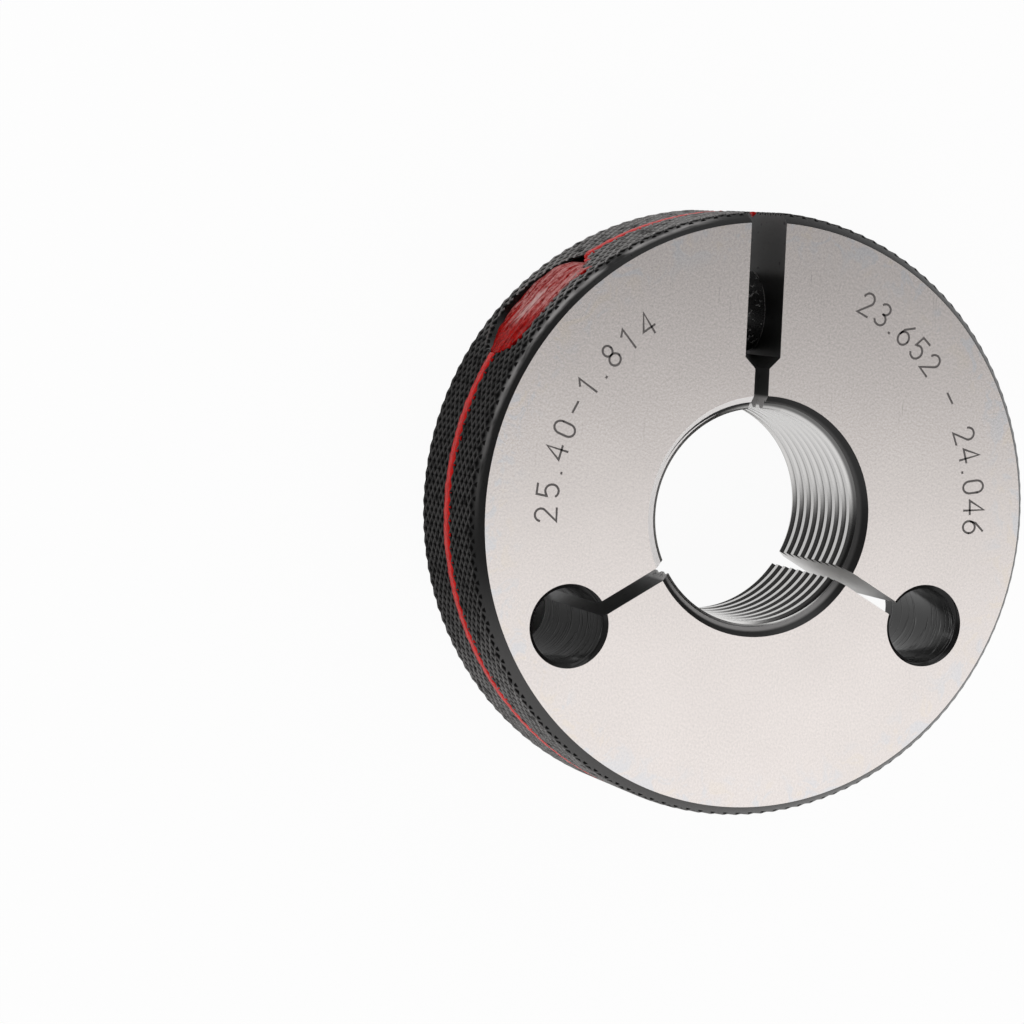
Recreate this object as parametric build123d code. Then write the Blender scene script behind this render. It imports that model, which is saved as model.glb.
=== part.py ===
from build123d import *

import os
from math import cos, radians, sin, sqrt

# An adjustable thread ring gauge: a split steel ring, the screws and sleeve that set and lock its
# size, and the sealing wax over the screws. All sizes are in millimetres.
#
# The ring lies on its back face at z = 0. +Z runs along the thread towards the marked face, and +Y
# runs from the thread's axis to the adjusting slot. The screws lie along X, half way up the ring.

# Ring blank
RING_THICKNESS = 18.0
RIM_DIAMETER = 66.675  # over the knurling
RIM_SHOULDER_LENGTH = 1.38  # the shallow cone between the rim and the bevel of a face, along Z
RIM_SHOULDER_FALL = 0.90  # how far that cone comes in
FACE_BEVEL = 0.25
GROOVE_WIDTH = 1.55  # the painted V groove round the middle of the rim
GROOVE_DEPTH = 0.52

# Knurling on both sides of the groove, as straight teeth round the rim
KNURL_TEETH = 120
KNURL_DEPTH = 0.36

# Threaded bore, to its crests: 1 in - 14 thread, not-go limit
THREAD_MINOR_DIAMETER = 23.652
THREAD_MOUTH_CHAMFER = 1.454

# Slots and relief holes, set out from a centre a little off the thread's axis
LAYOUT_OFFSET_X = -0.53
SLOT_SPACING = 120.0  # degrees from the adjusting slot to each side slot
ADJUSTING_SLOT_WIDTH = 4.2
ADJUSTING_SLIT_WIDTH = 1.73  # the narrow end of the adjusting slot, into the thread
SLOT_PAST_SLEEVE = 0.4  # from the sleeve down to where the adjusting slot narrows
SIDE_SLOT_WIDTH = 1.6
RELIEF_HOLE_DIAMETER = 8.3
RELIEF_HOLE_RIM_WALL = 4.61  # steel left between a relief hole and the rim
RELIEF_HOLE_CHAMFER = 0.45
RELIEF_HOLE_SWING = 0.67  # degrees that each hole sits off its slot's line, on the slot's upper side

# Cross hole through both halves, with a pocket for each screw
SCREW_AXIS_INSET = 11.09  # from the rim in to the screws' axis
POCKET_DIAMETER = 11.11
SHOULDER_WEB = 3.5  # steel between the sleeve's seat and the locking screw's head

# Adjusting screw, hollow and tapped for the locking screw
ADJUSTING_SCREW_LENGTH = 8.5
ADJUSTING_SCREW_RECESS = 1.4  # below the lip of its pocket
ADJUSTING_SCREW_RUNOUT = 0.5  # thread left in the pocket's floor beyond the screw

# Locking screw
LOCKING_SCREW_DIAMETER = 6.35
LOCKING_HEAD_GAP = 0.355  # between the head and its pocket, on the radius
LOCKING_HEAD_HEIGHT = 4.5
LOCKING_HEAD_RECESS = 2.4  # below the lip of its pocket
LOCKING_TIP_INSET = 2.0  # from the adjusting screw's outer end in to the locking screw's tip

# Sleeve round the locking screw, and the small details of the turned pieces
SLEEVE_WALL = 0.99
DRIVER_SLOT_WIDTH = 1.6
DRIVER_SLOT_DEPTH = 1.5
SCREW_CHAMFER = 0.5
SLEEVE_CHAMFER = 0.3
SEAL_SINK = 0.45  # from the rim in to the wax

# Fits, on the radius
THREAD_CLEARANCE = 0.02
REAMED_CLEARANCE = 0.01
SHANK_CLEARANCE = 0.2
SEAL_CLEARANCE = 0.01

CUT_MARGIN = 2.0  # how far a cut runs past the surface it opens

rim_radius = RIM_DIAMETER / 2
face_edge_radius = rim_radius - RIM_SHOULDER_FALL - FACE_BEVEL
thread_radius = THREAD_MINOR_DIAMETER / 2
middle_z = RING_THICKNESS / 2

# Stations along the screws' axis. The lip is where a pocket's upper edge meets the rim.
screw_axis_y = rim_radius - SCREW_AXIS_INSET
pocket_radius = POCKET_DIAMETER / 2
shank_radius = LOCKING_SCREW_DIAMETER / 2
sleeve_bore_radius = shank_radius + SHANK_CLEARANCE
sleeve_radius = sleeve_bore_radius + SLEEVE_WALL
pocket_lip_x = sqrt(rim_radius**2 - (screw_axis_y + pocket_radius) ** 2)
adjusting_outer_x = ADJUSTING_SCREW_RECESS - pocket_lip_x
adjusting_inner_x = adjusting_outer_x + ADJUSTING_SCREW_LENGTH
locking_outer_x = pocket_lip_x - LOCKING_HEAD_RECESS
locking_seat_x = locking_outer_x - LOCKING_HEAD_HEIGHT
locking_tip_x = adjusting_outer_x + LOCKING_TIP_INSET
sleeve_seat_x = locking_seat_x - SHOULDER_WEB


def ring_blank():
    """The turned and knurled ring: bevelled faces, shoulders, painted groove and chamfered bore."""
    shoulder_z = FACE_BEVEL + RIM_SHOULDER_LENGTH
    lower_half = [
        (thread_radius, THREAD_MOUTH_CHAMFER),
        (thread_radius + THREAD_MOUTH_CHAMFER, 0),
        (face_edge_radius, 0),
        (face_edge_radius + FACE_BEVEL, FACE_BEVEL),
        (rim_radius, shoulder_z),
        (rim_radius, middle_z - GROOVE_WIDTH / 2),
    ]
    upper_half = [(radius, RING_THICKNESS - z) for radius, z in reversed(lower_half)]
    outline = lower_half + [(rim_radius - GROOVE_DEPTH, middle_z)] + upper_half
    section = make_face(Polyline(*outline, close=True))
    return revolve(Plane.XZ * section, Axis.Z) & knurled_bar()


def knurled_bar():
    """A bar with the knurling's teeth all round, as long as the ring is thick."""
    outline = []
    for step in range(2 * KNURL_TEETH):
        turn = radians(180 * step / KNURL_TEETH)
        radius = rim_radius - KNURL_DEPTH if step % 2 else rim_radius
        outline.append((radius * cos(turn), radius * sin(turn)))
    return extrude(make_face(Polyline(*outline, close=True)), RING_THICKNESS)


def cut_through(outline):
    """A cutter with the given XY outline that runs through both faces of the ring."""
    face = make_face(Polyline(*outline, close=True))
    return extrude(Pos(0, 0, -CUT_MARGIN) * face, RING_THICKNESS + 2 * CUT_MARGIN)


def adjusting_slot():
    """The wide slot down past the sleeve, its 45 degree floor, and the slit into the thread."""
    half_slot = ADJUSTING_SLOT_WIDTH / 2
    half_slit = ADJUSTING_SLIT_WIDTH / 2
    top_y = rim_radius + CUT_MARGIN
    floor_y = screw_axis_y - sleeve_radius - SLOT_PAST_SLEEVE
    slit_y = floor_y - (half_slot - half_slit)
    right_side = [(half_slit, 0), (half_slit, slit_y), (half_slot, floor_y), (half_slot, top_y)]
    left_side = [(-x, y) for x, y in reversed(right_side)]
    return Pos(LAYOUT_OFFSET_X, 0, 0) * cut_through(right_side + left_side)


def side_slot(side):
    """One side slot, from the thread out to its relief hole; side is 1 to the right, -1 to the left."""
    half_slot = SIDE_SLOT_WIDTH / 2
    outline = [(half_slot, 0), (half_slot, relief_reach()), (-half_slot, relief_reach()), (-half_slot, 0)]
    return Pos(LAYOUT_OFFSET_X, 0, 0) * Rot(0, 0, -side * SLOT_SPACING) * cut_through(outline)


def relief_reach():
    """How far the relief holes lie from the layout's centre."""
    return rim_radius - RELIEF_HOLE_RIM_WALL - RELIEF_HOLE_DIAMETER / 2


def relief_hole(side):
    """The drilled end of a side slot, chamfered at both faces."""
    radius = RELIEF_HOLE_DIAMETER / 2
    flared = radius + RELIEF_HOLE_CHAMFER + CUT_MARGIN
    lower_half = [(0, -CUT_MARGIN), (flared, -CUT_MARGIN), (radius, RELIEF_HOLE_CHAMFER)]
    upper_half = [(r, RING_THICKNESS - z) for r, z in reversed(lower_half)]
    section = make_face(Polyline(*lower_half, *upper_half, close=True))
    bearing = radians(SLOT_SPACING - RELIEF_HOLE_SWING)
    x = LAYOUT_OFFSET_X + side * relief_reach() * sin(bearing)
    y = relief_reach() * cos(bearing)
    return Pos(x, y, 0) * revolve(Plane.XZ * section, Axis.Z)


def turned(outline):
    """A piece turned on the screws' axis from an outline of (x, radius) points."""
    section = make_face(Polyline(*outline, close=True))
    return Pos(0, screw_axis_y, middle_z) * revolve(section, Axis.X)


def cross_hole():
    """The stepped hole: tapped pocket, reamed sleeve hole, web and locking screw's pocket."""
    reach = rim_radius + CUT_MARGIN
    reamed = sleeve_radius + REAMED_CLEARANCE
    through = shank_radius + SHANK_CLEARANCE
    tapped_floor_x = adjusting_inner_x + ADJUSTING_SCREW_RUNOUT
    return turned(
        [
            (-reach, 0),
            (-reach, pocket_radius),
            (tapped_floor_x, pocket_radius),
            (tapped_floor_x, reamed),
            (sleeve_seat_x, reamed),
            (sleeve_seat_x, through),
            (locking_seat_x, through),
            (locking_seat_x, pocket_radius),
            (reach, pocket_radius),
            (reach, 0),
        ]
    )


def ring_body():
    """The split ring, all in one piece of steel."""
    body = ring_blank() - adjusting_slot() - cross_hole()
    for side in (-1, 1):
        body -= side_slot(side)
        body -= relief_hole(side)
    return body


def driver_slot(outer_x):
    """The screwdriver slot across a screw's outer end."""
    slot = Box(2 * DRIVER_SLOT_DEPTH, 2 * pocket_radius, DRIVER_SLOT_WIDTH)
    return Pos(outer_x, screw_axis_y, middle_z) * slot


def adjusting_screw():
    """The hollow screw that pushes on the sleeve and so opens the ring."""
    outside = pocket_radius - THREAD_CLEARANCE
    inside = shank_radius + THREAD_CLEARANCE
    screw = turned(
        [
            (adjusting_outer_x, inside),
            (adjusting_outer_x, outside - SCREW_CHAMFER),
            (adjusting_outer_x + SCREW_CHAMFER, outside),
            (adjusting_inner_x - SCREW_CHAMFER, outside),
            (adjusting_inner_x, outside - SCREW_CHAMFER),
            (adjusting_inner_x, inside),
        ]
    )
    return screw - driver_slot(adjusting_outer_x)


def alignment_sleeve():
    """The hardened sleeve that keeps the two halves in line, between the screw and its seat."""
    return turned(
        [
            (adjusting_inner_x, sleeve_bore_radius),
            (adjusting_inner_x, sleeve_radius - SLEEVE_CHAMFER),
            (adjusting_inner_x + SLEEVE_CHAMFER, sleeve_radius),
            (sleeve_seat_x - SLEEVE_CHAMFER, sleeve_radius),
            (sleeve_seat_x, sleeve_radius - SLEEVE_CHAMFER),
            (sleeve_seat_x, sleeve_bore_radius),
        ]
    )


def locking_screw():
    """The cheese-head screw that pulls the halves together, through the sleeve."""
    head_radius = pocket_radius - LOCKING_HEAD_GAP
    screw = turned(
        [
            (locking_tip_x, 0),
            (locking_tip_x, shank_radius - SCREW_CHAMFER),
            (locking_tip_x + SCREW_CHAMFER, shank_radius),
            (locking_seat_x, shank_radius),
            (locking_seat_x, head_radius),
            (locking_outer_x - SCREW_CHAMFER, head_radius),
            (locking_outer_x, head_radius - SCREW_CHAMFER),
            (locking_outer_x, 0),
        ]
    )
    return screw - driver_slot(locking_outer_x)


def wax_seal(screw_end_x):
    """The sealing wax that fills a pocket from the screw's end out to just under the rim."""
    radius = pocket_radius - SEAL_CLEARANCE
    reach_x = rim_radius if screw_end_x > 0 else -rim_radius
    plug = turned([(screw_end_x, 0), (screw_end_x, radius), (reach_x, radius), (reach_x, 0)])
    under_rim = Pos(0, 0, middle_z) * Cylinder(rim_radius - SEAL_SINK, RING_THICKNESS)
    return plug & under_rim


pieces = {
    "ring_body": ring_body(),
    "adjusting_screw": adjusting_screw(),
    "alignment_sleeve": alignment_sleeve(),
    "locking_screw": locking_screw(),
    "adjusting_screw_seal": wax_seal(adjusting_outer_x),
    "locking_screw_seal": wax_seal(locking_outer_x),
}

os.makedirs("parts", exist_ok=True)
for name, piece in pieces.items():
    piece.label = name
    export_step(piece, f"parts/{name}.step")
    print(f"{name}: {len(piece.solids())} solid, {piece.volume:.1f} mm3")
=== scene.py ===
from math import acos, asin, ceil, cos, degrees, exp, hypot, pi, radians, sin, sqrt, tan

import bmesh
import bpy
from mathutils import Matrix, Vector, noise


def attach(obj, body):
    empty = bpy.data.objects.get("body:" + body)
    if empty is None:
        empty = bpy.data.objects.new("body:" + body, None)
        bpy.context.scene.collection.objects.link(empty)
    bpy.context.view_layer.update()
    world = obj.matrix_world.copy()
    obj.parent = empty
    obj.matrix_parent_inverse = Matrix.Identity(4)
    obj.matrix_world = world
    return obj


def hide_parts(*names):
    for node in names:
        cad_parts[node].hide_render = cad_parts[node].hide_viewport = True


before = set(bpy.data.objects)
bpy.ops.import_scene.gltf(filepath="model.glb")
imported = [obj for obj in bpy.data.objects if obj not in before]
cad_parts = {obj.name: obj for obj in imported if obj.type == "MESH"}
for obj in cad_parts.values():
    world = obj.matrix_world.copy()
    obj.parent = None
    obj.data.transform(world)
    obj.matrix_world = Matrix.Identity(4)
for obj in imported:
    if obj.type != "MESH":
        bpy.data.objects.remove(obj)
bpy.context.view_layer.update()
print("nodes:", sorted(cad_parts))

# %% [markdown]
# # The sizes of a thread ring gauge
# The gauge is one split steel ring with a screw thread through it. The frame holds its plain
# solids, and this lesson dresses them. Sizes are written in millimetres, as on a drawing, and every
# mesh is scaled to metres as it is made. The ring lies on its back face at z = 0, with its marked
# face up, +Z along the thread and +Y towards the adjusting slot.

# %% Sizes of the ring
MM = 0.001
RING_THICKNESS = 18.0
RIM_RADIUS = 66.675 / 2
SHOULDER_LENGTH = 1.38  # of the shallow cone between the rim and the bevel of a face, along Z
SHOULDER_FALL = 0.90  # how far that cone comes in
FACE_BEVEL = 0.25
GROOVE_WIDTH = 1.55  # the V groove round the middle of the rim
GROOVE_DEPTH = 0.52
FACE_EDGE_RADIUS = RIM_RADIUS - SHOULDER_FALL - FACE_BEVEL
MIDDLE_Z = RING_THICKNESS / 2
print("face edge radius:", FACE_EDGE_RADIUS, "mm")

# %% Sizes of the slots, holes and pockets
LAYOUT_OFFSET_X = -0.53  # the slots and relief holes are set out a little off the thread's axis
ADJUSTING_SLOT_HALF = 2.1  # a name that ends in _HALF is half of a width
ADJUSTING_SLIT_HALF = 0.865
ADJUSTING_SLOT_FLOOR = 17.4825
SIDE_SLOT_HALF = 0.8
SIDE_SLOT_TURN = 120.0  # degrees from the adjusting slot
RELIEF_HOLE_RADIUS = 4.15
RELIEF_HOLE_CHAMFER = 0.45
RELIEF_HOLE_REACH = 24.5775
RELIEF_HOLE_BEARING = 119.33  # degrees from the adjusting slot
SCREW_AXIS_Y = 22.2475
POCKET_RADIUS = 5.555
SLEEVE_HOLE_RADIUS = 4.375
SHANK_HOLE_RADIUS = 3.375
ADJUSTING_SCREW_RECESS = 1.4  # below the lip of its pocket
ADJUSTING_THREAD_LENGTH = 9.0
LOCKING_HEAD_RECESS = 2.4  # below the lip of its pocket
LOCKING_HEAD_HEIGHT = 4.5
SHOULDER_WEB = 3.5  # steel between the sleeve's seat and the locking screw's head
POCKET_LIP_X = sqrt(RIM_RADIUS**2 - (SCREW_AXIS_Y + POCKET_RADIUS) ** 2)
ADJUSTING_SCREW_END_X = ADJUSTING_SCREW_RECESS - POCKET_LIP_X
POCKET_FLOOR_LEFT = ADJUSTING_SCREW_END_X + ADJUSTING_THREAD_LENGTH
LOCKING_SCREW_END_X = POCKET_LIP_X - LOCKING_HEAD_RECESS
HEAD_SEAT_X = LOCKING_SCREW_END_X - LOCKING_HEAD_HEIGHT
SLEEVE_SEAT_X = HEAD_SEAT_X - SHOULDER_WEB
print("pocket lip:", round(POCKET_LIP_X, 3), "mm from the middle")

# %% Sizes of the thread
PITCH = 25.4 / 14
CREST_RADIUS = 11.826
ROOT_RADIUS = 12.75
MOUTH_CHAMFER = 1.454
CREST_FLAT = 0.680  # along the axis
FLANK_RUN = (ROOT_RADIUS - CREST_RADIUS) * tan(radians(30))
CREST_TURN = -37.0  # degrees, where a crest is CREST_DEPTH below the marked face
CREST_DEPTH = 2.37
print("pitch:", round(PITCH, 4), "mm; flank run:", round(FLANK_RUN, 3), "mm")

# %% [markdown]
# # Meshes from lists of points
# Every piece starts as plain points and faces, because a turned or threaded part is a formula:
# each point comes from an angle and a height. A face remembers which finish it gets, so when one
# solid is later cut out of another, the cut surface keeps the cutter's finish.

# %% Helpers that make and cut solids
def make_solid(name, points, faces, finishes, finish_of_face=None):
    """A mesh from points in millimetres; finish_of_face gives each face its finish's number."""
    mesh = bpy.data.meshes.new(name)
    mesh.from_pydata([Vector(point) * MM for point in points], [], faces)
    for finish in finishes:
        mesh.materials.append(finish)
    if finish_of_face:
        mesh.polygons.foreach_set("material_index", finish_of_face)
    mesh.update()
    solid = bpy.data.objects.new(name, mesh)
    bpy.context.scene.collection.objects.link(solid)
    return solid


def cut(solid, tool, operation="DIFFERENCE"):
    """Cuts a solid with another one, keeps each surface's finish and throws the tool away."""
    step = solid.modifiers.new("cut", "BOOLEAN")
    step.solver = "MANIFOLD"
    step.material_mode = "TRANSFER"
    step.operation = operation
    step.object = tool
    graph = bpy.context.evaluated_depsgraph_get()
    shape = bpy.data.meshes.new_from_object(solid.evaluated_get(graph))
    before = solid.data
    solid.modifiers.remove(step)
    solid.data = shape
    bpy.data.meshes.remove(before)
    bpy.data.objects.remove(tool)
    print(operation.lower(), "left", len(shape.polygons), "faces")


def turned(name, outline, finishes, finish_of_run, steps=360):
    """A closed solid turned about Z from (radius, z) points, the first and last on the axis."""
    rings = outline[1:-1]
    points = [(0, 0, outline[0][1]), (0, 0, outline[-1][1])]
    for k in range(steps):
        turn = 2 * pi * k / steps
        points += [(r * cos(turn), r * sin(turn), z) for r, z in rings]
    faces, numbers = [], []
    for k in range(steps):
        here = 2 + k * len(rings)
        there = 2 + (k + 1) % steps * len(rings)
        faces.append((0, there, here))
        faces += [(here + i, there + i, there + i + 1, here + i + 1) for i in range(len(rings) - 1)]
        faces.append((1, here + len(rings) - 1, there + len(rings) - 1))
        numbers += finish_of_run
    return make_solid(name, points, faces, finishes, numbers)


# %% [markdown]
# # Shader maths written as Python
# A material's node tree is easier to read as expressions. This small class wraps one output of a
# node; sums and products of such wires add the Math nodes they need, and every other node comes
# from one method that takes the node's type, its settings and what goes into its sockets.

# %% The wire class
class Wire:
    """An output of a shader node, with arithmetic."""

    def __init__(self, socket):
        self.socket = socket
        self.tree = socket.id_data

    @classmethod
    def node(cls, tree, kind, settings=None, inputs=None, output=0):
        """Adds a node: settings first, then a value or a wire for each input by name or number."""
        made = tree.nodes.new(kind)
        for name, value in (settings or {}).items():
            setattr(made, name, value)
        for name, value in (inputs or {}).items():
            if isinstance(value, Wire):
                tree.links.new(value.socket, made.inputs[name])
            else:
                made.inputs[name].default_value = value
        return cls(made.outputs[output]) if made.outputs else made

    def math(self, operation, first, second):
        """A Math node between two values, either of which may be a wire."""
        settings = {"operation": operation}
        return Wire.node(self.tree, "ShaderNodeMath", settings, {0: first, 1: second})

    def __add__(self, other):
        return self.math("ADD", self, other)

    def __radd__(self, other):
        return self.math("ADD", other, self)

    def __sub__(self, other):
        return self.math("SUBTRACT", self, other)

    def __rsub__(self, other):
        return self.math("SUBTRACT", other, self)

    def __mul__(self, other):
        return self.math("MULTIPLY", self, other)

    def __rmul__(self, other):
        return self.math("MULTIPLY", other, self)

    def __pow__(self, other):
        return self.math("POWER", self, other)

    def least(self, other):
        return self.math("MINIMUM", self, other)

    def most(self, other):
        return self.math("MAXIMUM", self, other)

    def fade(self, low, high):
        """0 below low, 1 above high, smooth between."""
        settings = {"interpolation_type": "SMOOTHSTEP"}
        return Wire.node(self.tree, "ShaderNodeMapRange", settings, {0: self, 1: low, 2: high})


def new_finish(name, **sockets):
    """A material with one Principled shader; returns the material, its tree and the shader."""
    finish = bpy.data.materials.new(name)
    finish.use_nodes = True
    shader = finish.node_tree.nodes["Principled BSDF"]
    for socket, value in sockets.items():
        shader.inputs[socket.replace("_", " ")].default_value = value
    return finish, finish.node_tree, shader


def place_in_mm(tree):
    """Where a point of the surface is, in millimetres of the ring's own frame."""
    place = Wire.node(tree, "ShaderNodeTexCoord", output=3)
    settings = {"operation": "SCALE"}
    return Wire.node(tree, "ShaderNodeVectorMath", settings, {0: place, "Scale": 1 / MM})


def grain(tree, place, scale, detail=2.0, roughness=0.5, distortion=0.0):
    """Soft random noise; scale is in bumps to the millimetre."""
    inputs = {"Vector": place, "Scale": scale, "Detail": detail}
    inputs |= {"Roughness": roughness, "Distortion": distortion}
    return Wire.node(tree, "ShaderNodeTexNoise", None, inputs)


def blend(tree, mask, first, second):
    """Mixes two colours by a mask."""
    settings = {"data_type": "RGBA"}
    return Wire.node(tree, "ShaderNodeMix", settings, {0: mask, 6: first, 7: second}, output=2)


def bump(tree, height, depth):
    """A normal from a height of 0 to 1; depth is the real depth of 1, in millimetres."""
    inputs = {"Height": height, "Strength": 1.0, "Distance": depth * MM}
    return Wire.node(tree, "ShaderNodeBump", None, inputs)


def lead(tree, wire, shader, socket):
    """Leads a wire to a socket of the shader."""
    tree.links.new(wire.socket, shader.inputs[socket])


# %% [markdown]
# # Ground steel for the two faces
# A gauge's faces are ground and then lapped, so they show a very fine random grain, a few stray
# scratches and, near the rim, the faint blue and straw wisps that a drying film of oil leaves. The
# grain goes into the roughness and the bump more than into the colour, because on real metal it is
# the reflection that changes.

# %% Patterns that several finishes share
def split_place(tree, place):
    """The X, Y and Z of a place, each as a wire."""
    parts = Wire.node(tree, "ShaderNodeSeparateXYZ", None, {0: place}).socket.node
    return [Wire(socket) for socket in parts.outputs]


def from_axis(tree, place):
    """The distance from the thread's axis."""
    x, y, z = split_place(tree, place)
    return (x * x + y * y) ** 0.5


def near(value, middle, half_width):
    """1 where the value is close to the middle, falling smoothly to 0."""
    rise = (value - middle + half_width).fade(0, half_width)
    fall = (middle + half_width - value).fade(0, half_width)
    return rise * fall


def stretched(tree, place, scale, turn=0.0):
    """The place turned about Z by so many degrees, then scaled along each axis."""
    inputs = {"Vector": place, "Rotation": (0, 0, radians(turn)), "Scale": scale}
    return Wire.node(tree, "ShaderNodeMapping", {"vector_type": "POINT"}, inputs)


def scratches(tree, place, turn):
    """Rare thin lines in one direction."""
    lines = grain(tree, stretched(tree, place, (6.0, 0.12, 6.0), turn), 1.0, 1.0, 0.4)
    return lines.fade(0.70, 0.76)


def grey(tree, level, tint):
    """A colour from one level, with a fixed tint."""
    settings = {"operation": "SCALE"}
    return Wire.node(tree, "ShaderNodeVectorMath", settings, {0: tint, "Scale": level})


# %% Ground steel
GROUND_LEVEL = 0.585
GROUND_TINT = (1.0, 0.932, 0.900)
BLUE_FILM = (0.48, 0.58, 0.68, 1)
STRAW_FILM = (0.72, 0.62, 0.46, 1)


def make_ground_steel():
    finish, tree, shader = new_finish("ground_steel", Metallic=1.0)
    place = place_in_mm(tree)
    fine = grain(tree, stretched(tree, place, (2.5, 1.9, 2.5), 20), 1.8, 4.0, 0.68)
    cloud = grain(tree, place, 0.11, 2.0, 0.5)
    lines = scratches(tree, place, 24) + scratches(tree, place, -61)
    lines = lines * grain(tree, place, 0.2).fade(0.45, 0.6)
    level = GROUND_LEVEL + fine.fade(0.30, 0.70) * 0.085 + cloud * 0.05 - lines * 0.05
    steel = grey(tree, level, GROUND_TINT)
    film = grain(tree, place, 0.30, 3.0, 0.6, 1.4)
    near_rim = from_axis(tree, place).fade(27.0, 32.0)
    steel = blend(tree, near_rim * film.fade(0.52, 0.64) * 0.25, steel, BLUE_FILM)
    steel = blend(tree, near_rim * (1 - film.fade(0.36, 0.44)) * 0.18, steel, STRAW_FILM)
    lead(tree, steel, shader, "Base Color")
    lead(tree, fine * 0.08 + 0.13 - lines * 0.04, shader, "Roughness")
    lead(tree, bump(tree, fine - lines * 0.5, 0.004), shader, "Normal")
    return finish


ground_steel = make_ground_steel()
print("made", ground_steel.name)

# %% [markdown]
# # Black oxide
# Everything but the faces and the thread is blacked. The film is thin: it stays deep black in the
# cuts, goes grey where hands and the knurling wheels rub it, and shows the tool marks beneath.
# Some grey layers are painted light instead: highlights, lit patches, and the shade left between.

# %% Black oxide
def make_black_oxide(name, level, roughness, shine, marks=None, mark_depth=0.006, layers=()):
    """A blacked finish. A pattern is a function of tree and place: marks is the pattern of the
    bump, and each of the layers is a pattern with the grey that it paints there, for wear and, in
    some layers, for painted light."""
    finish, tree, shader = new_finish(name, Metallic=0.0, Specular_IOR_Level=shine)
    place = place_in_mm(tree)
    fine = grain(tree, place, 2.8, 4.0, 0.62)
    height = marks(tree, place) * 0.96 + fine * 0.04 if marks else fine
    black = grey(tree, (fine + 0.5) * level, (1.0, 0.975, 0.97))
    for pattern, value in layers:
        black = blend(tree, pattern(tree, place), black, (value, value * 0.97, value * 0.96, 1))
    lead(tree, black, shader, "Base Color")
    lead(tree, (fine - 0.5) * 0.16 + roughness, shader, "Roughness")
    lead(tree, bump(tree, height, mark_depth), shader, "Normal")
    return finish


print("every blacked finish comes from", make_black_oxide.__name__)

# %% Patterns on the blacking
RIDGE_FOOT_RADIUS = 33.12  # the wear and the painted light on the knurl's ridges fade in from here
RIDGE_TOP_RADIUS = 33.30
FRONT_SHOULDER_Z = 17.05  # the middle of the shoulder beside the marked face
MOUTH_RUB_Z = 17.55  # the mouth is rubbed below this
THREAD_GRIND_RADIUS = 12.9  # the slots' ends are bare inside this
SIDE_SLOT_SLOPE = tan(radians(SIDE_SLOT_TURN - 90))  # of the left side slot, along X


def thin_rings(tree, place):
    """A few sharp rings round an upright hole, which climb a little as a drill's do."""
    x, y, z = split_place(tree, place)
    inputs = {0: x * 0.05, 1: y * 0.05, 2: z * 0.75 + x * 0.07}
    swirl = Wire.node(tree, "ShaderNodeCombineXYZ", None, inputs)
    off = grain(tree, swirl, 1.0, 2.0, 0.6) - 0.5
    return (off * off).fade(0.0, 0.0012)


def turning_rings(tree, place):
    """Rings round a piece that was turned about X."""
    x, y, z = split_place(tree, place)
    along = Wire.node(tree, "ShaderNodeCombineXYZ", None, {0: x * 4.0, 1: y * 0.05, 2: z * 0.05})
    return grain(tree, along, 1.0, 2.0, 0.6)


def back_edge_highlight(tree, place):
    """A painted highlight along the edge of a relief hole's chamfer at the back face."""
    x, y, z = split_place(tree, place)
    return near(z, RELIEF_HOLE_CHAMFER, 0.22)


def painted_glints(tree, place):
    """Small painted glints: bright specks in the colour."""
    return grain(tree, place, 1.6, 3.0, 0.7).fade(0.60, 0.66)


def sleeve_hole_highlight(tree, place):
    """A painted highlight round the sleeve's hole in the slot's walls, broken up."""
    x, y, z = split_place(tree, place)
    y, z = y - SCREW_AXIS_Y, z - MIDDLE_Z
    edge = near((y * y + z * z) ** 0.5, SLEEVE_HOLE_RADIUS + 0.10, 0.16)
    return edge * grain(tree, place, 0.5).fade(0.40, 0.56)


def knurl_wear_and_light(tree, place):
    """1 on the knurl's ridges and 0 in its pits, broken up by use; a little grey from wear all
    round, and much lighter at the upper left and below as painted light.
    """
    x, y, z = split_place(tree, place)
    # painted light: the ridges are lighter at the upper left and below, where light falls on them
    upper = (2 - x).fade(0.0, 7.0) * y.fade(15.0, 26.0)
    lower = (-8 - y).fade(0.0, 14.0) * 0.57
    kept = grain(tree, place, 0.7, 3.0, 0.6).fade(0.22, 0.55)
    ridge = from_axis(tree, place).fade(RIDGE_FOOT_RADIUS, RIDGE_TOP_RADIUS)
    return ridge * kept * (upper.most(lower) * 0.65 + 0.17)


def shoulder_highlight(tree, place):
    """A long painted highlight streak on the front shoulder at the upper left, and faint painted
    light all below.
    """
    x, y, z = split_place(tree, place)
    streak = near(z, FRONT_SHOULDER_Z, 0.50) * (-3 - x).fade(0.0, 8.0) * y.fade(-4.0, 26.0)
    gaps = grain(tree, stretched(tree, place, (0.25, 0.25, 1.2)), 1.0, 3.0, 0.55)
    return (streak * gaps.fade(0.30, 0.62)).most((-4 - y).fade(0.0, 14.0) * 0.18)


def cutter_lines(tree, place):
    """Faint lines up the slot's walls."""
    return grain(tree, stretched(tree, place, (2.2, 2.2, 0.12)), 1.0, 2.0, 0.6)


def slot_pits(tree, place):
    """Small black pits on the slot's walls."""
    return 1 - grain(tree, place, 1.35, 1.0, 0.5).fade(0.26, 0.31)


def slot_wall_light(tree, place):
    """Painted light: the slot's walls are greyer above the screws' pockets, and where they end by
    the sleeve, which leaves a painted shadow of the sleeve between.
    """
    x, y, z = split_place(tree, place)
    ragged = y + grain(tree, place, 0.35) * 1.2
    return (ragged.fade(26.6, 27.8) + (1 - ragged.fade(18.2, 19.2)) * 0.4) * 0.7


def near_thread(tree, place):
    """Bare where the thread was ground after blacking."""
    return 1 - from_axis(tree, place).fade(THREAD_GRIND_RADIUS, THREAD_GRIND_RADIUS + 0.5)


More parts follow.
